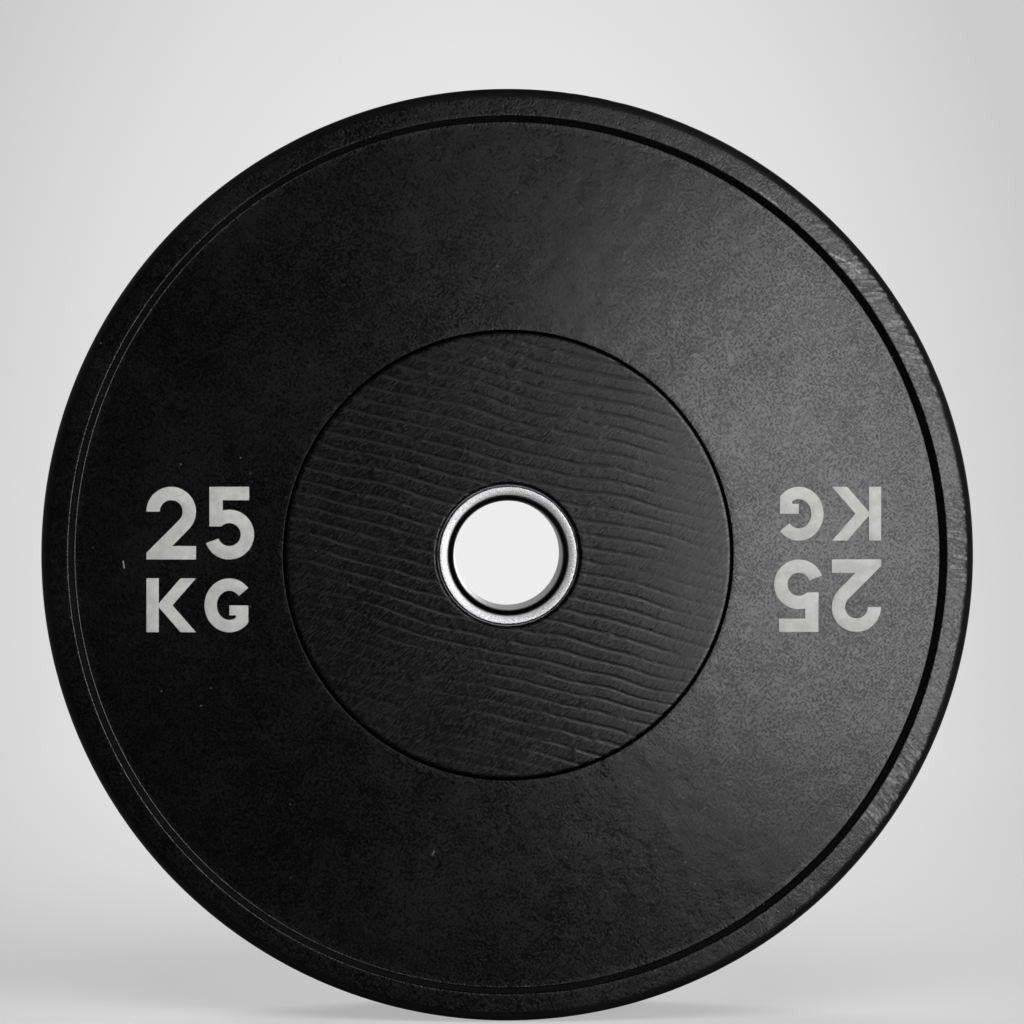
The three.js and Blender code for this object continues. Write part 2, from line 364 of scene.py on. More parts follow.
def turned_tree(name, relief=None, holes=False):
    """A node tree that sweeps a section round the plate's axis."""
    tree = bpy.data.node_groups.new(name, "GeometryNodeTree")
    tree.is_modifier = True
    for label, kind in TURNED_INPUTS:
        tree.interface.new_socket(name=label, in_out="INPUT", socket_type=f"NodeSocket{kind}")
    tree.interface.new_socket(name="Geometry", in_out="OUTPUT", socket_type="NodeSocketGeometry")
    graph = Graph(tree)
    given = graph.node("NodeGroupInput").outputs
    section = graph.out("GeometryNodeMeshToCurve", {"Mesh": given["Section"]})
    inward = graph.join(graph.times(given["Pitch radius"], -1.0), 0.0, 0.0)
    moved = graph.out("GeometryNodeTransform", {"Geometry": section, "Translation": inward})
    circle = {"Resolution": given["Segments"], "Radius": given["Pitch radius"]}
    path = graph.out("GeometryNodeCurvePrimitiveCircle", circle)
    shape = graph.out("GeometryNodeCurveToMesh", {"Curve": path, "Profile Curve": moved})
    shape = graph.out("GeometryNodeTransform", {"Geometry": shape, "Rotation": AXIS_TO_Y})
    if relief:
        offset = relief(graph, graph.out("GeometryNodeInputPosition"))
        shape = graph.out("GeometryNodeSetPosition", {"Geometry": shape, "Offset": offset})
    if holes:
        meshes = {"Mesh 1": shape, "Mesh 2": screw_hole_tools(graph, given)}
        shape = graph.out("GeometryNodeMeshBoolean", meshes, operation="DIFFERENCE", solver="MANIFOLD")
    shape = graph.out("GeometryNodeSetShadeSmooth", {"Geometry": shape})
    shape = graph.out("GeometryNodeRealizeInstances", {"Geometry": shape})
    shape = graph.out("GeometryNodeSetMaterial", {"Geometry": shape, "Material": given["Finish"]})
    graph.node("NodeGroupOutput", {0: shape})
    return tree


def screw_hole_tools(graph, given):
    """Six rods round the axis, for the flange's screw holes, with none straight above the bore."""
    ring = graph.out("GeometryNodeMeshCircle", {"Vertices": 6, "Radius": given["Hole circle"]})
    placed = graph.out("GeometryNodeTransform", {"Geometry": ring, "Rotation": AXIS_TO_Y})
    size = {"Vertices": HOLE_SIDES, "Radius": given["Hole radius"], "Depth": given["Hole length"]}
    rod = graph.out("GeometryNodeMeshCylinder", size)
    inputs = {"Points": placed, "Instance": rod, "Rotation": AXIS_TO_Y}
    rods = graph.out("GeometryNodeInstanceOnPoints", inputs)
    return graph.out("GeometryNodeRealizeInstances", {"Geometry": rods})


def section_piece(name, section):
    """An object whose mesh is a closed line through the section's points."""
    mesh = bpy.data.meshes.new(name)
    count = len(section)
    points = [(radius, y, 0.0) for radius, y in section]
    mesh.from_pydata(points, [(i, (i + 1) % count) for i in range(count)], [])
    return bpy.data.objects.new(name, mesh)


def faces_outwards(mesh):
    """Joins doubled points and turns every face outwards."""
    shell = bmesh.new()
    shell.from_mesh(mesh)
    bmesh.ops.remove_doubles(shell, verts=shell.verts, dist=0.001 * MM)
    bmesh.ops.recalc_face_normals(shell, faces=shell.faces)
    if shell.calc_volume(signed=True) < 0:
        bmesh.ops.reverse_faces(shell, faces=shell.faces)
    shell.to_mesh(mesh)
    shell.free()


def turn(name, section, finish, relief=None, segments=None, hole_circle=0.0):
    """Turns a section round the axis with a node tree and keeps the result as a plain mesh."""
    sizes = plate_sizes()
    tree = turned_tree(f"turned_{name}", relief, hole_circle > 0)
    piece = section_piece(name, section)
    modifier = piece.modifiers.new("Turned section", "NODES")
    modifier.node_group = tree
    values = {
        "Pitch radius": section[0][0],
        "Segments": segments or sizes.segments,
        "Finish": finish,
        "Hole circle": hole_circle,
        "Hole radius": sizes.hole_radius,
        "Hole length": sizes.flange_half * 4,
    }
    for item in tree.interface.items_tree:
        if item.in_out == "INPUT" and item.name in values:
            modifier[item.identifier] = values[item.name]
    return made_plain(piece)


def linked(piece):
    bpy.context.scene.collection.objects.link(piece)
    return piece


def made_plain(piece):
    """Swaps a piece's modifiers or curve for the plain mesh that they make."""
    linked(piece)
    depsgraph = bpy.context.evaluated_depsgraph_get()
    mesh = bpy.data.meshes.new_from_object(piece.evaluated_get(depsgraph))
    name = piece.name
    bpy.data.objects.remove(piece)
    mesh.name = name
    faces_outwards(mesh)
    mesh.set_sharp_from_angle(angle=SHARP_ANGLE)
    return linked(bpy.data.objects.new(name, mesh))


def on_plate(piece, slot, *nodes):
    """The piece rides on the plate and stands for CAD nodes, which it hides. The slot is not used."""
    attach(piece, BODY)
    if nodes:
        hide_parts(*nodes)


def arc(centre, radius, start, end, steps):
    """Points on an arc, with angles in degrees from the first axis towards the second."""
    points = []
    for i in range(steps + 1):
        angle = radians(start + (end - start) * i / steps)
        points.append((centre[0] + radius * cos(angle), centre[1] + radius * sin(angle)))
    return points


def line(start, end, steps):
    """Points spaced evenly from start up to, but without, the end."""
    (x1, y1), (x2, y2) = start, end
    return [(x1 + (x2 - x1) * i / steps, y1 + (y2 - y1) * i / steps) for i in range(steps)]


def rounded(before, corner, after, radius, steps=6):
    """Points that round the corner between two sides with an arc of a radius."""
    here = Vector(corner)
    back = (Vector(before) - here).normalized()
    ahead = (Vector(after) - here).normalized()
    half = back.angle(ahead) / 2
    shorter = min((Vector(before) - here).length, (Vector(after) - here).length)
    reach = min(radius / tan(half), shorter / 2)
    start = here + back * reach
    end = here + ahead * reach
    centre = here + (back + ahead).normalized() * (reach / cos(half))
    spoke = start - centre
    first = degrees(atan2(spoke.y, spoke.x))
    turn_angle = degrees((end - centre).angle_signed(spoke))
    return arc(centre, spoke.length, first, first + turn_angle, steps)


def facing(section, side):
    """A rear section as it is, or turned round to the front."""
    if side > 0:
        return section
    return [(radius, -y) for radius, y in reversed(section)]


def tyre_section():
    """The whole tyre's section: tread, rim, step, web, seam, pockets and flange."""
    sizes = plate_sizes()
    tread = sizes.plate_radius - sizes.bead_height
    face = sizes.face
    cover_seat = node_face("front_core_disc")
    cover = node_radius("front_hub_cover")
    seam = cover + sizes.seam_width
    edge = (tread - sizes.rim_round, face - sizes.rim_fall - sizes.rim_round)
    step_top = (sizes.plate_radius - sizes.rim_width, face)
    step_foot = (step_top[0] - sizes.step_run, face - sizes.step_depth)
    web_edge = (seam, face)
    seat_edge = (cover + sizes.seam_foot, cover_seat)
    core_edge = seam - sizes.core_ledge
    bead_foot = sizes.bead_width / 2
    rim_edge = arc(edge, sizes.rim_round, 0, 90, 12)
    top = rounded(rim_edge[-1], step_top, step_foot, sizes.step_round)
    foot = rounded(step_top, step_foot, web_edge, sizes.step_round)
    lip = rounded(step_foot, web_edge, seat_edge, sizes.seam_round)
    half = [
        (sizes.plate_radius, bead_foot * 0.12),
        (sizes.plate_radius - sizes.bead_height * 0.5, bead_foot * 0.6),
        (tread, bead_foot),
        *line((tread, bead_foot * 1.3), rim_edge[0], 5),
        *rim_edge[:-1],
        *line(rim_edge[-1], top[0], 6),
        *top,
        *foot,
        *line(foot[-1], lip[0], 34)[1:],
        *lip,
        *line(seat_edge, (core_edge, cover_seat), 2),
        *line((core_edge, cover_seat), (core_edge, sizes.flange_half), 3),
        *line((core_edge, sizes.flange_half), (sizes.flange_bore, sizes.flange_half), 3),
        (sizes.flange_bore, sizes.flange_half),
    ]
    return half + facing(half, -1)


def cover_section():
    """The rear hub cover's section, dished towards the collar."""
    sizes = plate_sizes()
    face = sizes.face
    seat = node_face("rear_core_disc")
    outer = node_radius("rear_hub_cover")
    hole = node_radius("rear_collar") + sizes.cover_gap
    foot = (outer, seat)
    rim = (outer, face - sizes.roll_depth)
    roll = (outer - sizes.roll_width, face)
    dish_foot = (hole, face - sizes.dish_depth)
    dish_edge = (hole + sizes.dish_width, face)
    edge = rounded(foot, rim, roll, sizes.cover_round)
    crest = rounded(rim, roll, dish_edge, sizes.roll_round, 4)
    fall = rounded(roll, dish_edge, dish_foot, sizes.dish_round, 10)
    return [
        foot,
        *edge,
        *crest,
        *line(crest[-1], fall[0], 84)[1:],
        *fall,
        *line(dish_foot, (hole, seat), 1),
        (hole, seat),
    ]


def collar_section():
    """The rear collar's section: rounded edge, a lip that turns over and a funnel to the bore."""
    sizes = plate_sizes()
    top = node_face("rear_collar")
    seat = node_face("bore_sleeve")
    outer = node_radius("rear_collar")
    foot = (outer, seat)
    brow = outer - sizes.collar_round
    turn_degrees = degrees(sizes.lip_turn)
    lip_radius = (sizes.lip_width - sizes.collar_round) / sin(sizes.lip_turn)
    edge = arc((brow, top - sizes.collar_round), sizes.collar_round, 0, 90, 10)
    lip = arc((brow, top - lip_radius), lip_radius, 90, 90 + turn_degrees, 12)
    mouth = (sizes.bore_radius, seat + sizes.bore_land)
    bore_foot = (sizes.bore_radius, seat)
    funnel_end = rounded(lip[-1], mouth, bore_foot, sizes.mouth_round, 8)
    return [
        foot,
        *line((outer, seat + 1 * MM), edge[0], 3),
        *edge,
        *lip[1:],
        *line(lip[-1], funnel_end[0], 5)[1:],
        *funnel_end,
        bore_foot,
    ]


def sleeve_section():
    """The sleeve between the collars."""
    sizes = plate_sizes()
    end = node_face("bore_sleeve")
    outer = node_radius("bore_sleeve")
    return [
        *line((outer, -end), (outer, end), 4),
        (outer, end),
        *line((sizes.bore_radius, end), (sizes.bore_radius, -end), 12),
        (sizes.bore_radius, -end),
    ]


def finish_graph(name):
    """A new material, its graph, its shader and the piece's own coordinates."""
    finish = bpy.data.materials.new(name)
    finish.use_nodes = True
    graph = Graph(finish.node_tree)
    shader = finish.node_tree.nodes["Principled BSDF"]
    place = graph.node("ShaderNodeTexCoord").outputs["Object"]
    return finish, graph, shader, place


def shaded(tone, share):
    """A colour with its brightness scaled by a share, and no transparency."""
    return (*(value * share for value in tone), 1.0)


def bumped(graph, height, distance, under=None):
    inputs = {"Height": height, "Distance": distance, "Strength": 1.0}
    if under is not None:
        inputs["Normal"] = under
    return graph.out("ShaderNodeBump", inputs)


def specks(graph, place, scale, rarity, size):
    """Sparse round specks: 1 in a speck and 0 outside it."""
    cells = graph.node("ShaderNodeTexVoronoi", {"Vector": place, "Scale": scale, "Randomness": 1.0})
    chance = graph.split(cells.outputs["Color"])[0]
    dot = graph.step(cells.outputs["Distance"], size, size * 0.5)
    return graph.times(dot, graph.math("GREATER_THAN", chance, rarity))


def mark(graph, place, x, z, angle, mark_length, width):
    """One short straight mark on the front. Its middle, length and width are in millimetres."""
    middle = graph.vector("SUBTRACT", place, (x * MM, 0.0, z * MM))
    turned = graph.stretched(middle, radians(angle), 1.0, 1.0)
    along, depth, across = graph.split(turned)
    reach = graph.step(graph.math("ABSOLUTE", along), mark_length / 2 * MM, mark_length * 0.4 * MM)
    edge = graph.step(graph.math("ABSOLUTE", across), width / 2 * MM, width * 0.2 * MM)
    return graph.times(reach, edge, graph.math("LESS_THAN", depth, 0.0))


def crossed_scratches(graph, place, seed, fineness, rarity):
    """Fine hair scratches in three directions."""
    total = 0.0
    for turn_angle, shift in ((0.6, 0.0), (-0.5, 4.0), (1.9, 8.0)):
        field = graph.noise(graph.stretched(place, turn_angle, 14, fineness), 1.0, seed + shift, detail=1)
        ridge = graph.math("ABSOLUTE", graph.math("SUBTRACT", field, 0.5))
        hair = graph.step(ridge, 0.012, 0.0)
        patch = graph.step(graph.noise(place, 30, seed + shift + 1.0), rarity, rarity + 0.08)
        total = graph.plus(total, (hair, patch))
    return total


def leather_grain(graph, place):
    """The fine crossed grain that the mould leaves on the tyre, about 0.5 around its middle."""
    one = graph.noise(graph.stretched(place, radians(42), 620, 1900), 1.0, 11.0, detail=0)
    other = graph.noise(graph.stretched(place, radians(-48), 620, 1900), 1.0, 13.0, detail=0)
    return graph.times(graph.plus(one, other), 0.5)


SCUFFED_FACE = (212.2 * MM, 220.6 * MM)
SCUFFED_ARC = (radians(-50), radians(46))


def rim_scuffs(graph, place):
    """Slanting scrapes across the rim's face on its right, where the plate has been rolled. Deeper
    ones lie in four short stretches, each given by its middle and half its width in degrees."""
    radius, angle = graph.polar(place)
    flat = graph.join(graph.times(angle, 0.22), 0.0, radius)
    slanting = graph.noise(graph.stretched(flat, radians(-52), 90, 420), 1.0, 21.0, detail=3)
    upright = graph.noise(graph.stretched(flat, radians(-76), 130, 620), 1.0, 25.0, detail=3)
    right = graph.band(angle, *SCUFFED_ARC, radians(10))
    patches = graph.step(graph.noise(place, 40, 23.0), 0.36, 0.56)
    light = graph.times(right, patches, graph.step(slanting, 0.48, 0.68), 0.3)
    deep = 0.0
    for middle, half, strokes in ((38, 3, slanting), (25, 6, slanting), (2, 5, upright), (-31, 5, upright)):
        ends = radians(middle - half), radians(middle + half)
        stretch = graph.band(angle, *ends, radians(3))
        deep = graph.plus(deep, (stretch, graph.step(strokes, 0.42, 0.6)))
    face = graph.band(radius, *SCUFFED_FACE, 1.0 * MM)
    return graph.times(face, graph.math("MINIMUM", graph.plus(light, deep), 1.0))


def dusted(graph, cover):
    """The rubber's black, with pale dust over a share of it."""
    colours = bpy.context.scene.plate_finishes
    return graph.tint(cover, (*colours.rubber, 1.0), (*colours.dust, 1.0))


SMUDGE_MIDDLE = (149 * MM, -32 * MM, 118 * MM)


def make_tyre_rubber():
    """Satin rubber with a fine crossed grain, dust, specks, scuffs on the rim and a matt tread."""
    finish, graph, shader, place = finish_graph("tyre_rubber")
    sizes = plate_sizes()
    grain = leather_grain(graph, place)
    clouds = graph.noise(place, 16, 1.0, detail=4, roughness=0.55)
    mottle = graph.noise(place, 90, 2.0, detail=3)
    dots = specks(graph, place, 210, 0.93, 0.11)
    hairs = crossed_scratches(graph, place, 31.0, 260, 0.6)
    scuffs = rim_scuffs(graph, place)
    chalk = graph.step(graph.noise(place, 700, 27.0, detail=3), 0.38, 0.62)
    radius, _ = graph.polar(place)
    step_top = sizes.plate_radius - sizes.rim_width
    wall = graph.band(radius, step_top - sizes.step_run + 0.3 * MM, step_top - 0.3 * MM, 0.3 * MM)
    off_smudge = graph.vector("DISTANCE", place, SMUDGE_MIDDLE)
    smudge = graph.times(graph.step(off_smudge, 26 * MM, 4 * MM), graph.step(mottle, 0.3, 0.7))
    tread = graph.step(radius, sizes.plate_radius - sizes.rim_round, sizes.plate_radius - 2.5 * MM)
    dusty = graph.plus(
        (graph.step(clouds, 0.45, 0.75), 0.006),
        (dots, 0.4),
        (hairs, 0.004),
        (scuffs, graph.plus(0.22, (chalk, 0.42))),
        (wall, 0.02),
        (smudge, 0.05),
        (mark(graph, place, -185.0, -4.4, -80, 4.2, 0.9), 0.9),
        (mark(graph, place, -36.0, -143.4, 60, 3.0, 0.8), 0.7),
        (mark(graph, place, 123.8, 172.6, -36, 16, 1.1), chalk, 0.7),
        (mark(graph, place, 159.5, 142.8, -25, 12, 1.2), chalk),
        (mark(graph, place, 168.5, 136.5, -32, 7, 1.0), chalk, 0.7),
    )
    shine = graph.plus(
        0.27,
        graph.centred(clouds, 0.16),
        graph.centred(mottle, 0.12),
        graph.centred(grain, 0.5),
        (scuffs, 0.14),
        (tread, 0.5),
    )
    slow = bumped(graph, mottle, 0.2 * MM, under=bumped(graph, grain, 0.09 * MM))
    worn = graph.plus(scuffs, (hairs, 0.08))
    graph.fill(shader, {
        "Base Color": dusted(graph, graph.math("MINIMUM", dusty, 1.0)),
        "Roughness": graph.limited(shine, 0.12, 0.9),
        "Specular IOR Level": 0.4,
        "Normal": bumped(graph, worn, 0.1 * MM, under=slow),
    })
    return finish


def make_cover_rubber():
    """Satin sheet rubber with ripples, a fine grain, specks and hair scratches."""
    finish, graph, shader, place = finish_graph("cover_rubber")
    sizes = plate_sizes()
    lines = ripple_lines(graph, place, sizes.ripple_pitch, 0.2)
    grain = graph.noise(graph.stretched(place, radians(40), 500, 1700), 1.0, 41.0, detail=0)
    clouds = graph.noise(place, 24, 43.0, detail=4)
    hairs = crossed_scratches(graph, place, 51.0, 320, 0.5)
    dots = specks(graph, place, 260, 0.94, 0.1)
    shine = graph.plus(0.25, graph.centred(clouds, 0.1), graph.centred(grain, 0.26), (lines, 0.16))
    fine = bumped(graph, grain, 0.025 * MM)
    grooves = bumped(graph, graph.times(lines, -1.0), 0.1 * MM, under=fine)
    graph.fill(shader, {
        "Base Color": dusted(graph, graph.plus((dots, 0.25), (hairs, 0.015))),
        "Roughness": graph.limited(shine, 0.12, 0.8),
        "Specular IOR Level": 0.35,
        "Normal": bumped(graph, hairs, 0.006 * MM, under=grooves),
    })
    return finish


def make_steel(name, tone, shine, rings, grime, metallic=1.0):
    """Turned steel with tool marks round the axis, and grime in patches."""
    finish, graph, shader, place = finish_graph(name)
    radius, _ = graph.polar(place)
    _, y, _ = graph.split(place)
    tool_path = graph.join(graph.times(radius, rings), graph.times(y, rings), 0.0)
    tool_marks = graph.noise(tool_path, 1.0, 61.0, detail=2)
    blotches = graph.noise(place, 240, 63.0, detail=4, roughness=0.65)
    dirt = graph.times(graph.step(blotches, 0.56, 0.7), grime)
    turned = bumped(graph, tool_marks, 0.01 * MM)
    graph.fill(shader, {
        "Base Color": graph.tint(dirt, (*tone, 1.0), shaded(tone, 0.22)),
        "Metallic": metallic,
        "Roughness": graph.plus(shine, (tool_marks, 0.14), (dirt, 0.25)),
        "Normal": bumped(graph, blotches, 0.02 * MM, under=turned),
    })
    return finish


def make_collar_steel():
    """Collar steel: bright turned edges, a lip worn pale and matt, and a funnel painted near black as shade,
    for the dark room its steel would reflect.
    """
    finish, graph, shader, place = finish_graph("collar_steel")
    sizes = plate_sizes()
    colours = bpy.context.scene.plate_finishes
    steel = colours.collar_steel
    outer = node_radius("front_collar")
    lip_foot = outer - sizes.lip_width
    radius, _ = graph.polar(place)
    ragged = graph.noise(place, 800, 81.0, detail=3)
    waver = graph.plus(radius, graph.centred(ragged, 0.9 * MM))
    lip = graph.band(waver, lip_foot + 0.3 * MM, outer - 0.7 * MM, 0.35 * MM)
    funnel = graph.band(radius, sizes.bore_radius + 0.9 * MM, lip_foot - 0.6 * MM, 1.7 * MM)
    land = graph.step(radius, sizes.bore_radius + 0.6 * MM, sizes.bore_radius + 0.2 * MM)
    speckles = graph.noise(place, 2000, 83.0, detail=2)
    dull = shaded(steel, 0.5)
    worn = graph.tint(graph.step(speckles, 0.8, 0.3), dull, shaded(steel, 1.25))
    unshaded = graph.tint(lip, graph.tint(land, (*steel, 1.0), dull), worn)
    matt = graph.plus((lip, 0.4), (land, 0.8))
    rough = graph.plus(0.2, (lip, 0.16), (funnel, 0.2), (lip, speckles, 0.12), (land, 0.3))
    graph.fill(shader, {
        # Painted shade: the funnel's near black stands in for the dark room that its steel would reflect.
        "Base Color": graph.tint(funnel, unshaded, (*colours.painted_shade, 1.0)),
        "Metallic": graph.math("SUBTRACT", 1.0, matt),
        "Roughness": rough,
        "Normal": bumped(graph, graph.times(speckles, lip), 0.03 * MM),
    })
    return finish


def make_figure_paint():
    """Matt paint worn thin in clouds and fine grain, with small chips."""
    finish, graph, shader, place = finish_graph("figure_paint")
    paint = bpy.context.scene.plate_finishes.paint
    clouds = graph.noise(place, 190, 71.0, detail=4, roughness=0.6)
    grain = graph.noise(place, 900, 73.0, detail=2)
    wear = graph.plus(
        (graph.step(clouds, 0.3, 0.7), 0.45),
        (graph.step(grain, 0.35, 0.65), 0.14),
        (specks(graph, place, 330, 0.9, 0.16), 0.3),
    )
    graph.fill(shader, {
        "Base Color": graph.tint(wear, (*paint, 1.0), shaded(paint, 0.6)),
        "Roughness": graph.remap(clouds, 0.3, 0.7, 0.5, 0.64),
        "Normal": bumped(graph, grain, 0.06 * MM),
    })
    return finish


def figure_two(width, height, stroke):
    """The digit 2: a round top, a straight slope of 45 degrees and a foot, anticlockwise."""
    radius = width / 2
    centre = (radius, height - radius)
    inner = radius - stroke
    outer_end = arc(centre, radius, -45, -45, 1)[0]
    inner_end = arc(centre, inner, -45, -45, 1)[0]
    return [
        (0.0, 0.0),
        (width, 0.0),
        (width, stroke),
        (outer_end[0] - (outer_end[1] - stroke), stroke),
        *arc(centre, radius, -45, 180, 44),
        *arc(centre, inner, 180, -45, 36),
        (0.0, inner_end[1] - inner_end[0]),
    ]


def figure_five(width, height, stroke):
    """The digit 5: a bar, an upright stem and a round bowl, clockwise from the stem's top."""
    radius = width / 2
    centre = (radius, radius)
    inner = radius - stroke
    stem = width * 0.1
    bowl_start = degrees(acos((stem + stroke - radius) / radius))
    bowl_end = arc(centre, inner, 135, 135, 1)[0]
    return [
        (stem, height),
        (width * 0.9, height),
        (width * 0.9, height - stroke),
        (stem + stroke, height - stroke),
        *arc(centre, radius, bowl_start, -160, 52),
        *arc(centre, inner, -160, 135, 44),
        (stem, bowl_end[1]),
    ]


def letter_k(width, height, stroke):
    """The letter K: a stem with an arm and a leg that mirror each other, clockwise."""
    middle = height / 2
    join = stroke / 6
    foot = stroke * 1.25
    rise = (middle - join) / (width - foot - stroke)
    return [
        (0.0, 0.0),
        (0.0, height),
        (stroke, height),
        (stroke, middle + join),
        (width - foot, height),
        (width, height),
        (width - middle / rise, middle),
        (width, 0.0),
        (width - foot, 0.0),
        (stroke, middle - join),
        (stroke, 0.0),
    ]


def letter_g(width, height, stroke):
    """The letter G: an oval bowl of one stroke and a bar at half height, anticlockwise."""
    across, up = width / 2, height / 2
    inner = across - stroke
    side = across + across * cos(radians(40))
    bar_foot = up - stroke * 0.8
    meets = degrees(acos((side - stroke - across) / inner))

    def bowl(half_width, half_height, start, end, steps):
        unit = arc((0, 0), 1.0, start, end, steps)
        return [(across + half_width * u, up + half_height * v) for u, v in unit]

    return [
        *bowl(across, up, 40, 320, 56),
        (side, up),
        (across, up),
        (across, bar_foot),
        (side - stroke, bar_foot),
        *bowl(inner, up - stroke, -meets, -320, 50),
    ]


def figure_block():
    """The outlines of 25 over KG, both lines of one width, with their own middle at the origin."""
    sizes = bpy.context.scene.figure_sizes
    digit = (sizes.figure_width, sizes.digit_height, sizes.digit_stroke)
    letter = (sizes.figure_width, sizes.letter_height, sizes.letter_stroke)
    second = sizes.figure_width + sizes.figure_gap
    digits_foot = sizes.letter_height + sizes.line_gap
    placed = (
        (figure_two(*digit), 0.0, digits_foot),
        (figure_five(*digit), second, digits_foot),
        (letter_k(*letter), 0.0, 0.0),
        (letter_g(*letter), second, 0.0),
    )
    middle_x = (second + sizes.figure_width) / 2
    middle_z = (digits_foot + sizes.digit_height) / 2
    return [[(u + x - middle_x, v + z - middle_z) for u, v in outline] for outline, x, z in placed]


def web_depth(radius):
    """How far the web lies from the middle of the plate."""
    sizes = plate_sizes()
    seam = node_radius("front_hub_cover") + sizes.seam_width
    foot = sizes.plate_radius - sizes.rim_width - sizes.step_run
    share = (radius - seam) / (foot - seam)
    return sizes.face - sizes.step_depth * share


def raised_figures(name, middle_x, middle_z, turned, side, paint, rubber):
    """Raises a block of figures on the web, painted on top and bare rubber on its sides."""
    sizes = bpy.context.scene.figure_sizes
    buried = 0.25 * MM
    thickness = sizes.raised + buried
    curve = bpy.data.curves.new(name, "CURVE")
    curve.dimensions = "2D"
    curve.fill_mode = "BOTH"
    curve.extrude = thickness / 2 - sizes.edge_round
    curve.bevel_depth = sizes.edge_round
    curve.bevel_resolution = 2
    curve.offset = -sizes.edge_round
    for outline in figure_block():
        spline = curve.splines.new("POLY")
        spline.points.add(len(outline) - 1)
        for point, (u, v) in zip(spline.points, outline):
            point.co = (u, v, 0.0, 1.0)
        spline.use_cyclic_u = True
    piece = made_plain(bpy.data.objects.new(name, curve))
    mesh = piece.data
    mesh.materials.clear()
    mesh.materials.append(paint)
    mesh.materials.append(rubber)
    for face in mesh.polygons:
        face.material_index = 0 if face.normal.z > FACES_UP else 1
    spin = -1 if turned else 1
    across = -side
    for vertex in mesh.vertices:
        u, v, w = vertex.co
        x = middle_x + u * spin * across
        z = middle_z + v * spin
        height = web_depth(hypot(x, z)) + w + thickness / 2 - buried
        vertex.co = (x, side * height, z)
    faces_outwards(mesh)
    on_plate(piece, "figure_paint")


class PLATE_OT_tyre(bpy.types.Operator):
    """Make the moulded rubber tyre with its rim, step, web and inner flange"""

    bl_idname = "plate.tyre"
    bl_label = "Tyre"

    def execute(self, context):
        finish = make_tyre_rubber()
        low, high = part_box("clamp_screw_1")
        screw_circle = hypot((low.x + high.x) / 2, (low.z + high.z) / 2)
        piece = turn("tyre", tyre_section(), finish, relief=tyre_relief, hole_circle=screw_circle)
        on_plate(piece, "tyre", "rubber_tyre")
        return {"FINISHED"}


class PLATE_OT_hub_covers(bpy.types.Operator):
    """Make the two rippled discs of sheet rubber over the core"""

    bl_idname = "plate.hub_covers"
    bl_label = "Hub covers"

    def execute(self, context):
        finish = make_cover_rubber()
        for name, side in SIDES:
            section = facing(cover_section(), side)
            piece = turn(f"{name}_cover", section, finish, relief=cover_relief, segments=720)
            on_plate(piece, "hub_cover", f"{name}_hub_cover")
        return {"FINISHED"}


class PLATE_OT_bore(bpy.types.Operator):
    """Make the steel sleeve and the collar at each end of it"""

    bl_idname = "plate.bore"
    bl_label = "Bore"

    def execute(self, context):
        steel = context.scene.plate_finishes.collar_steel
        finish = make_collar_steel()
        dull = tuple(value * 0.42 for value in steel)
        lining = make_steel("sleeve_steel", dull, 0.42, 900, 0.5, metallic=0.6)
        for name, side in SIDES:
            piece = turn(f"{name}_ring", facing(collar_section(), side), finish, segments=360)
            on_plate(piece, "bore_steel", f"{name}_collar")
        piece = turn("sleeve_lining", sleeve_section(), lining, segments=360)
        on_plate(piece, "bore_steel", "bore_sleeve")
        return {"FINISHED"}


class PLATE_OT_figures(bpy.types.Operator):
    """Make the raised and painted figures, two blocks on each face"""

    bl_idname = "plate.figures"
    bl_label = "Figures"

    def execute(self, context):
        sizes = context.scene.figure_sizes
        paint = make_figure_paint()
        rubber = bpy.data.materials["tyre_rubber"]
        for name, side in SIDES:
            left = side * sizes.left_distance
            right = -side * sizes.right_distance
            raised_figures(f"{name}_figures_left", left, -sizes.drop, False, side, paint, rubber)
            raised_figures(f"{name}_figures_right", right, -sizes.drop, True, side, paint, rubber)
        return {"FINISHED"}


class PLATE_OT_core(bpy.types.Operator):
    """Give the core discs, screws, washers and nuts their steel"""

    bl_idname = "plate.core"
    bl_label = "Core and fasteners"

    def execute(self, context):
        colours = context.scene.plate_finishes
        disc_steel = make_steel("core_disc_steel", tuple(colours.core_steel), 0.34, 700, 0.6)
        plating = make_steel("zinc_plating", tuple(colours.plating), 0.24, 1500, 0.35)
        for name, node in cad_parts.items():
            if name.endswith("core_disc"):
                finish = disc_steel
            elif name.startswith(("clamp_", "lock_")):
                finish = plating
            else:
                continue
            for held in node.material_slots:
                held.material = finish
        return {"FINISHED"}


